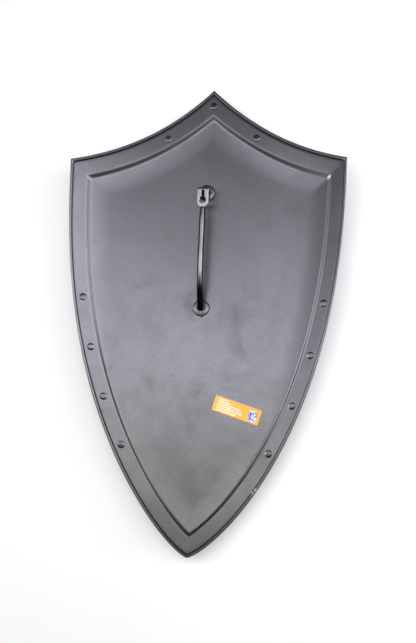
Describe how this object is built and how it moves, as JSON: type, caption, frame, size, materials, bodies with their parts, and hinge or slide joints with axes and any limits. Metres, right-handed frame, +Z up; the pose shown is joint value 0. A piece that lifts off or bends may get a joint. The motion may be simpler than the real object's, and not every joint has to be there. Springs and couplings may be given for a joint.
{
  "type": "heater shield",
  "caption": "Pressed steel heater shield with a stepped border, rolled edge, rivets and a rod handle with a keyhole end, lying with its hollow back up.",
  "frame": {"origin": "the middle of the box around the shield, on the surface that its convex front lies on", "axes": "+Y towards the shield's peak, +X to the right as its back is seen, +Z up, out of its hollow back"},
  "size_m": [0.36, 0.61, 0.0657],
  "materials": {
    "plate": "dull grey sheet steel with a fine grain and faint stains",
    "rod": "plain forged steel, a little brighter than the plate",
    "rivets": "dull grey steel, as the plate",
    "paper": "orange paper sticker with pale strokes"
  },
  "bodies": {
    "root": {"shield_plate": "plate", "handle": "rod", "washer_lower": "rod", "washer_upper": "rod", "rivet_peak": "rivets", "rivet_top_left": "rivets", "rivet_top_right": "rivets", "rivet_left_1": "rivets", "rivet_right_1": "rivets", "rivet_left_2": "rivets", "rivet_right_2": "rivets", "rivet_left_3": "rivets", "rivet_right_3": "rivets", "rivet_left_4": "rivets", "rivet_right_4": "rivets", "sticker": "paper"}
  },
  "joints": []
}
